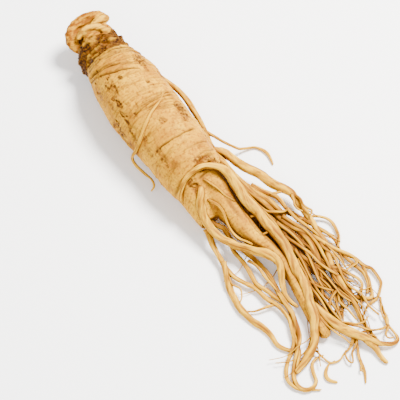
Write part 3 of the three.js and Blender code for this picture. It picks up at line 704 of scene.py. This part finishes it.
        # Painted shade in the groove under the neck.
        self.darken(0.95 * bump_at(away, 1.1))
        edge = soft_step(-25.5, -31, self.x + 2.4 * self.grain.at(self.corners, 2.6) - lean)
        edge = edge * soft_step(-0.3, 0.5, self.warp.at(self.corners, 1.4))
        self.bark = np.maximum(self.on_neck * (0.8 - 0.45 * flakes), 0.55 * edge)

    def crown(self):
        """Lengthwise grooves on the crown's ropes."""
        grooves = self.grain.rough(self.corners * (1.7, 0.5, 1.7), 2.1, 3)
        self.move += 0.34 * grooves * self.on_crown
        # Painted shade in the deeper grooves of the crown's ropes.
        self.darken(0.6 * soft_step(0.3, 1, -grooves) * self.on_crown)

    def main_leg(self):
        """Lengthwise wrinkles along the main leg."""
        angle, _ = around(self.corners, MAIN_LEG)
        grain = np.stack([self.x * 0.11, 5.2 * np.cos(angle), 5.2 * np.sin(angle)], 1)
        streaks = self.warp.rough(grain, 1.6, 2)
        self.move += 0.26 * streaks * self.on_leg
        # Painted shade in the valleys between the leg's wrinkles.
        self.darken(0.5 * soft_step(0.25, 0.95, -streaks) * self.on_leg)

    def finish(self, piece):
        write_corners(piece, self.corners + self.normals * self.move[:, None])
        write_marks(piece, crease=self.crease, scar=self.scar, bark=self.bark,
                    crown=self.on_crown, pale=self.pale)


def sculpt_taproot(piece, settings):
    """Works rings, scars, folds, bark and lengthwise wrinkles into the smooth taproot."""
    carving = Carving(piece, settings.seed)
    carving.swellings()
    carving.creases(settings.fine_rings, settings.seed)
    carving.scars()
    carving.wrinkles()
    carving.pits()
    carving.fold()
    carving.neck(settings.bark_depth / MM)
    carving.crown()
    carving.main_leg()
    carving.finish(piece)


def strand_rings(points, order, sides, step, ridge, wobble, noises):
    """One root's uneven path, its reach at each ring, its rings, and the furrow of each corner."""
    bend, thick, groove = noises
    path, reach = smooth_path(points, step)
    count = len(path)
    key = np.stack([reach, np.full(count, 37.0 * order), np.zeros(count)], 1)
    radius = np.maximum(path[:, 3], 0.12)
    loose = np.minimum(1, reach / 6)
    for axis in range(3):
        path[:, axis] += wobble * loose * radius ** 0.5 * bend.at(key + (0, 0, 9 * axis), 7)
    radius = radius * (1 + 0.09 * thick.rough(key, 6, 3))
    radius = radius * (1 + 0.45 * np.exp(-reach / 3))
    tip = np.clip((reach[-1] - reach) / (1.2 * radius[-1]), 0, 1)
    radius = radius * np.sqrt(np.clip(1 - (1 - tip) ** 2, 0.02, 1))

    turns = np.linspace(0, 2 * math.pi, sides, endpoint=False)
    along, round_y, round_z = (np.repeat(reach, sides), np.cos(np.tile(turns, count)),
                               np.sin(np.tile(turns, count)))
    furrow = groove.rough(np.stack([along / 14, 1.7 * round_y + 11 * order, 1.7 * round_z], 1),
                          1, 3).reshape(count, sides)
    rings = thick.at(np.stack([along / 1.3, 0.8 * round_y + 5 * order, 0.8 * round_z], 1),
                     1).reshape(count, sides)
    spread = radius[:, None] * (1 + ridge * furrow + 0.035 * rings)
    spin = turns[None] + 0.05 * reach[:, None] + 1.3 * bend.at(key, 23)[:, None]
    side, lift = frames_along(path)
    ring = (path[:, None, :3]
            + side[:, None] * (spread * np.cos(spin))[:, :, None]
            + lift[:, None] * (spread * np.sin(spin))[:, :, None])
    return path, reach, ring, furrow


def strand_faces(reach, sides, start):
    """Quads between one root's rings and a fan on each end, with the UVs of their corners.

    U is the way along the root in metres, and V is the share of the way around it.
    """
    count = len(reach)
    rows = start + np.arange(count - 1)[:, None] * sides
    low = rows + np.arange(sides)[None]
    after = rows + (np.arange(sides)[None] + 1) % sides
    faces = np.stack([low, after, after + sides, low + sides], 2).reshape(-1, 4).tolist()
    uvs = [((reach[i] * MM, k / sides), (reach[i] * MM, (k + 1) / sides),
            (reach[i + 1] * MM, (k + 1) / sides), (reach[i + 1] * MM, k / sides))
           for i in range(count - 1) for k in range(sides)]
    end = start + (count - 1) * sides
    first, last = start + count * sides, start + count * sides + 1
    for k in range(sides):
        following = (k + 1) % sides
        faces.append([first, start + following, start + k])
        uvs.append(((0, 0), (0, (k + 1) / sides), (0, k / sides)))
        faces.append([last, end + k, end + following])
        uvs.append(((reach[-1] * MM, 0),) * 3)
    return faces, uvs


def build_strands(name, roots, sides, step, ridge, settings):
    """One mesh of closed, ridged, slightly uneven roots that follow the listed points."""
    noises = [SmoothNoise(settings.seed + k) for k in (11, 12, 13)]
    shades = random.Random(settings.seed)
    corners, faces, uvs, tones, ridges = [], [], [], [], []
    start = 0
    for order, points in enumerate(roots):
        path, reach, ring, furrow = strand_rings(
            points, order, sides, step, ridge, settings.wobble, noises)
        new_faces, new_uvs = strand_faces(reach, sides, start)
        corners += [ring.reshape(-1, 3), path[[0, -1], :3]]
        faces += new_faces
        uvs += new_uvs
        count = len(path) * sides + 2
        tones.append(np.full(count, shades.uniform(0.25, 0.75)))
        # The ridge mark, which the skin turns into painted shade in the furrows and painted
        # highlights on the ridges.
        ridges.append(np.concatenate([0.5 + 0.5 * furrow.ravel(), [0.5, 0.5]]))
        start += count
    mesh = bpy.data.meshes.new(name)
    mesh.from_pydata((np.vstack(corners) * MM).tolist(), [], faces)
    layer = mesh.uv_layers.new(name="Along")
    layer.data.foreach_set("uv", [c for face in uvs for corner in face for c in corner])
    piece = bpy.data.objects.new(name, mesh)
    bpy.context.scene.collection.objects.link(piece)
    write_corners(piece, np.vstack(corners))
    write_marks(piece, tone=np.concatenate(tones), ridge=np.concatenate(ridges))
    make_active(piece)
    bpy.ops.object.mode_set(mode="EDIT")
    bpy.ops.mesh.select_all(action="SELECT")
    bpy.ops.mesh.normals_make_consistent(inside=False)
    bpy.ops.object.mode_set(mode="OBJECT")
    return piece


def rays_over_a_dome(count):
    """Directions spread evenly over a dome around +Z, more of them near its top."""
    golden = math.pi * (3 - math.sqrt(5))
    rays = []
    for k in range(count):
        out = math.sqrt((k + 0.5) / count)
        rays.append((out * math.cos(k * golden), out * math.sin(k * golden),
                     math.sqrt(1 - out * out)))
    return np.array(rays)


def paint_hollow_shade(pieces, reach):
    """Marks each corner with the share of the space in front of it that other parts fill, for the
    painted shade in the hollows.
    """
    corners, faces = [], []
    for piece in pieces:
        start = sum(len(part) for part in corners)
        corners.append(corners_and_normals(piece)[0])
        faces += [[start + k for k in face.vertices] for face in piece.data.polygons]
    tree = BVHTree.FromPolygons(np.vstack(corners).tolist(), faces)
    rays = rays_over_a_dome(SHADE_RAYS)
    for piece in pieces:
        spots, normals = corners_and_normals(piece)
        helper = np.where(np.abs(normals[:, :1]) > 0.7, (0, 1.0, 0), (1.0, 0, 0))
        side = np.cross(normals, helper)
        side /= np.linalg.norm(side, axis=1)[:, None] + 1e-9
        lift = np.cross(normals, side)
        origins = (spots + 0.08 * normals).tolist()
        blocked = np.zeros(len(spots))
        for ray in rays:
            directions = (side * ray[0] + lift * ray[1] + normals * ray[2]).tolist()
            for k, (origin, direction) in enumerate(zip(origins, directions)):
                if tree.ray_cast(origin, direction, reach)[0] is not None:
                    blocked[k] += 1
        blocked /= len(rays)
        edges = np.array([edge.vertices[:] for edge in piece.data.edges])
        for _ in range(SHADE_SMOOTHING):
            total, count = blocked.copy(), np.ones(len(blocked))
            for a, b in ((0, 1), (1, 0)):
                np.add.at(total, edges[:, a], blocked[edges[:, b]])
                np.add.at(count, edges[:, a], 1)
            blocked = total / count
        write_marks(piece, hollow=blocked)


class NodeDesk:
    """Adds and links shader nodes for one material."""

    def __init__(self, name):
        self.material = bpy.data.materials.new(name)
        self.material.use_nodes = True
        self.tree = self.material.node_tree
        self.skin = self.tree.nodes["Principled BSDF"]

    def add(self, kind, **inputs):
        node = self.tree.nodes.new(kind)
        for key, value in inputs.items():
            self.plug(node, key.replace("_", " "), value)
        return node

    def plug(self, node, socket, value):
        if isinstance(value, bpy.types.NodeSocket):
            self.tree.links.new(value, node.inputs[socket])
        else:
            node.inputs[socket].default_value = value

    def mark(self, name):
        node = self.tree.nodes.new("ShaderNodeAttribute")
        node.attribute_name = name
        return node.outputs["Fac"]

    def noise(self, coordinates, scale, detail=3.0, stretch=(1, 1, 1)):
        mapping = self.add("ShaderNodeMapping", Vector=coordinates, Scale=stretch)
        node = self.add("ShaderNodeTexNoise", Vector=mapping.outputs[0], Scale=scale,
                        Detail=detail)
        return node.outputs["Fac"]

    def between(self, value, low, high):
        """value stretched so that low becomes 0 and high becomes 1."""
        node = self.add("ShaderNodeMapRange", Value=value)
        node.inputs["From Min"].default_value = low
        node.inputs["From Max"].default_value = high
        return node.outputs[0]

    def times(self, first, second):
        node = self.tree.nodes.new("ShaderNodeMath")
        node.operation = "MULTIPLY"
        self.plug(node, 0, first)
        self.plug(node, 1, second)
        return node.outputs[0]

    def blend(self, share, first, second):
        node = self.tree.nodes.new("ShaderNodeMix")
        node.data_type = "RGBA"
        self.plug(node, 0, share)
        for socket, value in ((6, first), (7, second)):
            if not isinstance(value, bpy.types.NodeSocket):
                value = (*value, 1)
            self.plug(node, socket, value)
        return node.outputs[2]

    def finish(self, colour, height, depth, roughness):
        """Darkens the hollows with painted shade and sets the waxy, faintly translucent surface of
        a root.
        """
        # Painted shade: the more of the space in front that other parts fill, the more amber, and
        # the deepest hollows dark brown.
        hollow = self.between(self.mark("hollow"), 0.2, 0.5)
        colour = self.blend(self.times(hollow, 0.85), colour, AMBER)
        deepest = self.between(self.mark("hollow"), 0.45, 0.8)
        colour = self.blend(self.times(deepest, 0.9), colour, CREASE_BROWN)
        self.plug(self.skin, "Base Color", colour)
        self.plug(self.skin, "Roughness", roughness)
        self.skin.inputs["Specular IOR Level"].default_value = 0.04
        self.skin.inputs["Subsurface Weight"].default_value = 0.06
        self.skin.inputs["Subsurface Radius"].default_value = (0.9, 0.5, 0.25)
        self.skin.inputs["Subsurface Scale"].default_value = 0.0015
        bump = self.add("ShaderNodeBump", Height=height, Strength=0.6, Distance=depth)
        self.plug(self.skin, "Normal", bump.outputs[0])
        return self.material


STRAW = (0.56, 0.275, 0.003)
SAND = (0.42, 0.185, 0.002)
AMBER = (0.175, 0.055, 0.002)
CREAM = (0.72, 0.41, 0.014)
CREASE_BROWN = (0.035, 0.009, 0.002)
RUST = (0.24, 0.072, 0.004)
SCAR_BROWN = (0.032, 0.008, 0.003)
BARK_TAN = (0.125, 0.045, 0.003)
BARK_DARK = (0.022, 0.006, 0.001)
CROWN_ORANGE = (0.17, 0.05, 0.001)
LIP_HIGHLIGHT = (0.62, 0.34, 0.02)
CROWN_PALE = (0.44, 0.20, 0.006)
OCHRE = (0.35, 0.145, 0.002)


def body_colour(desk, place):
    """Straw skin with sand patches, brown lines, pale spots, specks and rusty blotches."""
    patches = desk.between(desk.noise(place, 75, 4), 0.36, 0.66)
    colour = desk.blend(patches, STRAW, SAND)
    lines = desk.between(desk.noise(place, 210, 4, (5, 1, 1)), 0.52, 0.72)
    colour = desk.blend(desk.times(lines, 0.65), colour, AMBER)
    pale = desk.between(desk.noise(place, 130, 3, (1, 0.7, 0.7)), 0.55, 0.75)
    colour = desk.blend(desk.times(pale, 0.55), colour, CREAM)
    specks = desk.between(desk.noise(place, 850, 3), 0.5, 0.7)
    colour = desk.blend(desk.times(specks, 0.75), colour, AMBER)
    blotches = desk.between(desk.noise(place, 85, 5, (1, 1.4, 1.4)), 0.5, 0.66)
    return desk.blend(desk.times(blotches, 0.55), colour, RUST)


def creased_and_scarred(desk, place, colour):
    """Creases darkened brown, partly painted shade in the grooves, and scars with a rusty rim and
    a broken dark middle.
    """
    colour = desk.blend(desk.between(desk.mark("crease"), 0.05, 0.9), colour, CREASE_BROWN)
    rim = desk.times(desk.between(desk.mark("scar"), 0.1, 0.7), 0.5)
    colour = desk.blend(rim, colour, RUST)
    broken = desk.between(desk.noise(place, 800, 3, (1, 1.2, 1.2)), 0.34, 0.56)
    middle = desk.times(desk.between(desk.mark("scar"), 0.15, 0.6), broken)
    return desk.blend(desk.times(middle, 0.9), colour, SCAR_BROWN)


def bark_colour(desk, place):
    flakes = desk.between(desk.noise(place, 620, 4, (1.6, 1, 1)), 0.42, 0.64)
    return desk.blend(flakes, BARK_DARK, BARK_TAN)


def crown_colour(desk, place):
    """Orange ropes with pale lengthwise streaks, and a painted highlight on the lip and nub on
    top.
    """
    ropes = desk.between(desk.noise(place, 330, 4, (1.6, 0.7, 1.6)), 0.42, 0.6)
    crown = desk.blend(ropes, CROWN_ORANGE, CROWN_PALE)
    lit = desk.times(desk.mark("pale"), desk.between(ropes, -0.4, 1.4))
    return desk.blend(lit, crown, LIP_HIGHLIGHT)


def taproot_skin():
    desk = NodeDesk("taproot skin")
    place = desk.add("ShaderNodeTexCoord").outputs["Object"]
    colour = creased_and_scarred(desk, place, body_colour(desk, place))
    on_neck = desk.between(desk.mark("bark"), 0.2, 0.75)
    colour = desk.blend(on_neck, colour, bark_colour(desk, place))
    colour = desk.blend(desk.mark("crown"), colour, crown_colour(desk, place))
    fine = desk.noise(place, 1400, 4, (2, 1, 1))
    roughness = desk.between(desk.noise(place, 300, 3), -0.6, 1.3)
    return desk.finish(colour, fine, 0.0003, roughness)


def strand_skin(name):
    desk = NodeDesk(name)
    place = desk.add("ShaderNodeTexCoord").outputs["Object"]
    along = desk.add("ShaderNodeUVMap")
    along.uv_map = "Along"
    colour = desk.blend(desk.mark("tone"), OCHRE, STRAW)
    patches = desk.between(desk.noise(place, 90, 3), 0.38, 0.64)
    colour = desk.blend(desk.times(patches, 0.6), colour, AMBER)
    streaks = desk.between(desk.noise(along.outputs[0], 9, 4, (22, 1, 1)), 0.42, 0.62)
    colour = desk.blend(desk.times(streaks, 0.6), colour, CREAM)
    dark = desk.between(desk.noise(along.outputs[0], 12, 4, (14, 1, 1)), 0.54, 0.66)
    colour = desk.blend(desk.times(dark, 0.7), colour, AMBER)
    # Painted shade in the furrows between the lengthwise ridges, and a painted highlight on the
    # ridge tops.
    colour = desk.blend(desk.between(desk.mark("ridge"), 0.46, 0.1), colour, AMBER)
    colour = desk.blend(desk.between(desk.mark("ridge"), 0.6, 1.0), colour, CREAM)
    fine = desk.noise(place, 1100, 4)
    roughness = desk.between(desk.noise(place, 300, 3), -0.6, 1.3)
    return desk.finish(colour, fine, 0.0002, roughness)


def plain_surface(name, colour, roughness):
    desk = NodeDesk(name)
    desk.skin.inputs["Base Color"].default_value = (*colour, 1)
    desk.skin.inputs["Roughness"].default_value = roughness
    return desk.material


def hairs_off(parents, count, chance):
    """Fine rootlets that leave the parent roots at seeded places and wander down the tangle."""
    roots = []
    for _ in range(count):
        parent, _ = smooth_path(chance.choice(parents), 2)
        reachable = [k for k in range(4, len(parent) - 4) if 78 < parent[k][0] < 158]
        if not reachable:
            continue
        k = chance.choice(reachable)
        spot = Vector(parent[k][:3])
        heading = Vector(parent[k + 2][:3]) - spot
        heading.z *= 0.3
        heading = heading.normalized()
        turn = chance.uniform(-0.7, 0.7)
        bend = chance.uniform(-0.12, 0.12)
        thickness = chance.uniform(0.28, 0.5)
        steps = chance.randint(4, 11)
        rest = chance.uniform(0.8, 3.2)
        points = [(*spot, thickness)]
        for step in range(steps):
            turn += bend + chance.uniform(-0.28, 0.28)
            stride = Vector((heading.x * math.cos(turn) - heading.y * math.sin(turn),
                             heading.x * math.sin(turn) + heading.y * math.cos(turn), 0))
            spot = spot + 3.4 * stride
            spot.z += 0.28 * (rest - spot.z) + chance.uniform(-0.4, 0.4)
            spot.z = max(spot.z, 0.6)
            if not (70 < spot.x < 163 and -15 < spot.y < 50):
                break
            shrink = 1 - 0.55 * (step + 1) / steps
            points.append((*spot, thickness * shrink))
        if len(points) > 3:
            roots.append(points)
    return roots


def strands_beneath(count, chance):
    """Thin strands that leave the end of the body low down and spread under the tangle."""
    roots = []
    for _ in range(count):
        x, y, z = chance.uniform(54, 60), chance.uniform(9, 15), chance.uniform(9, 13)
        thickness = chance.uniform(0.55, 1.05)
        goal = chance.uniform(22, 46)
        low = chance.uniform(1.2, 3.6)
        end = chance.uniform(118, 156)
        points = []
        while x < end:
            points.append((x, y, z, thickness * (1 - 0.5 * max(0, x - 90) / 66)))
            x += chance.uniform(5, 8)
            y += 0.16 * (goal - y) + chance.uniform(-2.2, 2.2)
            z += 0.2 * (low - z) + chance.uniform(-0.3, 0.3)
        roots.append(points)
    return roots


def fine_roots(settings):
    chance = random.Random(settings.seed + 5)
    parents = [LEGS[name] for name in ("arched_root", "outer_root", "hooked_root")]
    parents += [ROOTLETS[name] for name in (
        "beside_arch", "second_beside_arch", "under_arch", "crossing", "high_branch",
        "back_crossing")]
    hairs = hairs_off(parents, settings.hairs, chance)
    return FINE_ROOTLETS + hairs + strands_beneath(settings.under_strands, chance)


class GinsengTaprootSettings(bpy.types.PropertyGroup):
    sides: bpy.props.IntProperty(
        name="Sides", description="Sides of the circle that the taproot is extruded from",
        default=48, min=12, max=96)
    voxel: bpy.props.FloatProperty(
        name="Grain", description="Size of the mesh's squares once its parts are fused",
        default=0.00048, min=0.0003, max=0.002, unit="LENGTH")
    blending: bpy.props.IntProperty(
        name="Blending", description="How many times the fused parts are smoothed",
        default=3, min=0, max=40)
    fine_rings: bpy.props.IntProperty(
        name="Fine rings", description="Faint creases besides the main ones",
        default=70, min=0, max=200)
    bark_depth: bpy.props.FloatProperty(
        name="Bark depth", description="How rough the bark on the neck is",
        default=0.0011, min=0, max=0.004, unit="LENGTH")
    seed: bpy.props.IntProperty(
        name="Seed", description="Which of the possible roots is grown", default=7, min=0)


class GinsengStrandSettings(bpy.types.PropertyGroup):
    leg_sides: bpy.props.IntProperty(
        name="Leg sides", description="Sides of each thick root", default=16, min=6, max=48)
    rootlet_sides: bpy.props.IntProperty(
        name="Rootlet sides", description="Sides of each rootlet", default=12, min=5, max=32)
    hair_sides: bpy.props.IntProperty(
        name="Fine sides", description="Sides of each fine rootlet", default=7, min=4, max=24)
    ridge: bpy.props.FloatProperty(
        name="Ridges", description="Depth of the lengthwise ridges, as a share of the radius",
        default=0.2, min=0, max=0.5)
    wobble: bpy.props.FloatProperty(
        name="Wobble", description="How far a root of one millimetre wanders, in millimetres",
        default=0.45, min=0, max=3)
    hairs: bpy.props.IntProperty(
        name="Fine rootlets", description="Fine rootlets besides the listed ones",
        default=46, min=0, max=300)
    under_strands: bpy.props.IntProperty(
        name="Strands beneath", description="Thin strands low in the tangle",
        default=26, min=0, max=100)
    # How far the painted shade in the hollows looks for other parts.
    shade_reach: bpy.props.FloatProperty(
        name="Shade reach", description="How near another part has to be to darken a hollow",
        default=0.007, min=0.001, max=0.05, unit="LENGTH")
    seed: bpy.props.IntProperty(
        name="Seed", description="Which of the possible rootlets are grown", default=21, min=0)


class GinsengStageSettings(bpy.types.PropertyGroup):
    floor_size: bpy.props.FloatProperty(
        name="Floor", description="Side of the square floor", default=6.0, min=1, unit="LENGTH")
    azimuth: bpy.props.FloatProperty(
        name="Azimuth", description="Direction the camera stands in, from -Y towards +X",
        default=math.radians(59.5), subtype="ANGLE")
    elevation: bpy.props.FloatProperty(
        name="Elevation", description="How steeply the camera looks down",
        default=math.radians(60), subtype="ANGLE")
    distance: bpy.props.FloatProperty(
        name="Distance", description="From the camera to the root", default=0.739, min=0.1,
        unit="LENGTH")
    lens: bpy.props.FloatProperty(
        name="Lens", description="Focal length in millimetres", default=135, min=20)
    key_power: bpy.props.FloatProperty(
        name="Key light", description="Power of the large lamp above", default=44.0, min=0,
        unit="POWER")
    sky: bpy.props.FloatProperty(
        name="Sky", description="Strength of the even white surroundings", default=1.15, min=0)


class OBJECT_OT_ginseng_taproot(bpy.types.Operator):
    """Grow the taproot with its main leg, neck and twisted crown"""
    bl_idname = "object.ginseng_taproot"
    bl_label = "Grow taproot"
    bl_options = {"REGISTER", "UNDO"}

    def execute(self, context):
        settings = context.scene.ginseng_taproot
        parts = [grow_by_extrusion(TAPROOT, settings.sides),
                 grow_by_extrusion(MAIN_LEG, settings.sides // 2)]
        parts += [grow_rope(points, name) for name, points in CROWN_ROPES.items()]
        parts += [add_lump(*lump) for lump in CROWN_LUMPS]
        make_active(*parts)
        bpy.ops.object.join()
        taproot = context.object
        apply_modifier(taproot, "REMESH", mode="VOXEL", voxel_size=settings.voxel)
        if len(taproot.data.polygons) < FEWEST_FACES:
            raise RuntimeError("the taproot's parts did not fuse")
        apply_modifier(taproot, "SMOOTH", factor=0.5, iterations=settings.blending)
        sculpt_taproot(taproot, settings)
        finish_piece(taproot, "taproot", taproot_skin())
        return {"FINISHED"}


class OBJECT_OT_ginseng_legs(bpy.types.Operator):
    """Grow the thick roots that leave the end of the taproot"""
    bl_idname = "object.ginseng_legs"
    bl_label = "Grow legs"
    bl_options = {"REGISTER", "UNDO"}

    def execute(self, context):
        settings = context.scene.ginseng_strands
        legs = build_strands("legs", LEGS.values(), settings.leg_sides, STRAND_STEP,
                             settings.ridge, settings)
        finish_piece(legs, "legs", strand_skin("leg skin"))
        return {"FINISHED"}


class OBJECT_OT_ginseng_rootlets(bpy.types.Operator):
    """Grow the thin rootlets among and around the legs"""
    bl_idname = "object.ginseng_rootlets"
    bl_label = "Grow rootlets"
    bl_options = {"REGISTER", "UNDO"}

    def execute(self, context):
        settings = context.scene.ginseng_strands
        rootlets = build_strands("rootlets", ROOTLETS.values(), settings.rootlet_sides,
                                 STRAND_STEP, settings.ridge, settings)
        finish_piece(rootlets, "rootlets", strand_skin("rootlet skin"))
        return {"FINISHED"}


class OBJECT_OT_ginseng_fine_rootlets(bpy.types.Operator):
    """Grow the finest rootlets of the tangle"""
    bl_idname = "object.ginseng_fine_rootlets"
    bl_label = "Grow fine rootlets"
    bl_options = {"REGISTER", "UNDO"}

    def execute(self, context):
        settings = context.scene.ginseng_strands
        fine = build_strands("fine_rootlets", fine_roots(settings), settings.hair_sides,
                             FINE_STEP, FINE_RIDGES * settings.ridge, settings)
        finish_piece(fine, "fine_rootlets", strand_skin("fine rootlet skin"))
        return {"FINISHED"}


class OBJECT_OT_ginseng_painted_shade(bpy.types.Operator):
    """Paint shade into the hollows between the roots and in the creases"""
    bl_idname = "object.ginseng_stain"
    bl_label = "Shade hollows"
    bl_options = {"REGISTER", "UNDO"}

    def execute(self, context):
        pieces = [bpy.data.objects[name]
                  for name in ("taproot", "legs", "rootlets", "fine_rootlets")]
        paint_hollow_shade(pieces, context.scene.ginseng_strands.shade_reach / MM)
        return {"FINISHED"}


def add_lamp(name, place, size, power, colour):
    """A round area lamp that faces the root."""
    lamp = bpy.data.lights.new(name, "AREA")
    lamp.shape = "DISK"
    lamp.size = size
    lamp.energy = power
    lamp.color = colour
    piece = bpy.data.objects.new(name, lamp)
    bpy.context.scene.collection.objects.link(piece)
    piece.location = place
    piece.rotation_mode = "QUATERNION"
    piece.rotation_quaternion = (Vector(TARGET) - Vector(place)).to_track_quat("-Z", "Y")
    return piece


class OBJECT_OT_ginseng_stage(bpy.types.Operator):
    """Lay the pale floor and set up the soft light and the camera that looks down"""
    bl_idname = "object.ginseng_stage"
    bl_label = "Set the stage"
    bl_options = {"REGISTER", "UNDO"}

    def execute(self, context):
        settings = context.scene.ginseng_stage
        deselect_all()
        bpy.ops.mesh.primitive_plane_add(size=settings.floor_size, location=(0, 0, 0))
        floor = context.object
        floor.name = "floor"
        floor.data.materials.append(plain_surface("pale floor", FLOOR_COLOUR, 0.9))

        world = bpy.data.worlds.new("soft white surroundings")
        world.use_nodes = True
        sky = world.node_tree.nodes["Background"]
        sky.inputs["Color"].default_value = (*WHITE, 1)
        sky.inputs["Strength"].default_value = settings.sky
        context.scene.world = world
        key = add_lamp("key light", KEY_PLACE, KEY_SIZE, settings.key_power, KEY_COLOUR)
        fill = add_lamp("fill light", FILL_PLACE, FILL_SIZE, FILL_SHARE * settings.key_power,
                        WHITE)

        flat = math.cos(settings.elevation)
        back = Vector((math.sin(settings.azimuth) * flat, -math.cos(settings.azimuth) * flat,
                       math.sin(settings.elevation)))
        lens = bpy.data.cameras.new("camera")
        lens.lens = settings.lens
        lens.sensor_width = SENSOR_WIDTH
        camera = bpy.data.objects.new("camera", lens)
        context.scene.collection.objects.link(camera)
        camera.location = Vector(TARGET) + back * settings.distance
        camera.rotation_mode = "QUATERNION"
        camera.rotation_quaternion = (-back).to_track_quat("-Z", "Y")
        context.scene.camera = camera
        return {"FINISHED"}


class VIEW3D_PT_ginseng(bpy.types.Panel):
    bl_label = "Ginseng root"
    bl_idname = "VIEW3D_PT_ginseng"
    bl_space_type = "VIEW_3D"
    bl_region_type = "UI"
    bl_category = "Ginseng"

    def draw(self, context):
        groups = (
            (context.scene.ginseng_taproot, (OBJECT_OT_ginseng_taproot,)),
            (context.scene.ginseng_strands, (OBJECT_OT_ginseng_legs, OBJECT_OT_ginseng_rootlets,
                                             OBJECT_OT_ginseng_fine_rootlets,
                                             OBJECT_OT_ginseng_painted_shade)),
            (context.scene.ginseng_stage, (OBJECT_OT_ginseng_stage,)),
        )
        for settings, operators in groups:
            box = self.layout.box()
            for name in settings.__annotations__:
                box.prop(settings, name)
            for operator in operators:
                box.operator(operator.bl_idname)


CLASSES = (
    GinsengTaprootSettings, GinsengStrandSettings, GinsengStageSettings,
    OBJECT_OT_ginseng_taproot, OBJECT_OT_ginseng_legs, OBJECT_OT_ginseng_rootlets,
    OBJECT_OT_ginseng_fine_rootlets, OBJECT_OT_ginseng_painted_shade, OBJECT_OT_ginseng_stage,
    VIEW3D_PT_ginseng,
)


def register():
    for kind in CLASSES:
        bpy.utils.register_class(kind)
    scene = bpy.types.Scene
    scene.ginseng_taproot = bpy.props.PointerProperty(type=GinsengTaprootSettings)
    scene.ginseng_strands = bpy.props.PointerProperty(type=GinsengStrandSettings)
    scene.ginseng_stage = bpy.props.PointerProperty(type=GinsengStageSettings)


def unregister():
    del bpy.types.Scene.ginseng_stage
    del bpy.types.Scene.ginseng_strands
    del bpy.types.Scene.ginseng_taproot
    for kind in reversed(CLASSES):
        bpy.utils.unregister_class(kind)


def main():
    register()
    bpy.ops.object.ginseng_taproot()
    bpy.ops.object.ginseng_legs()
    bpy.ops.object.ginseng_rootlets()
    bpy.ops.object.ginseng_fine_rootlets()
    bpy.ops.object.ginseng_stain()
    bpy.ops.object.ginseng_stage()
    deselect_all()


if __name__ == "__main__":
    main()
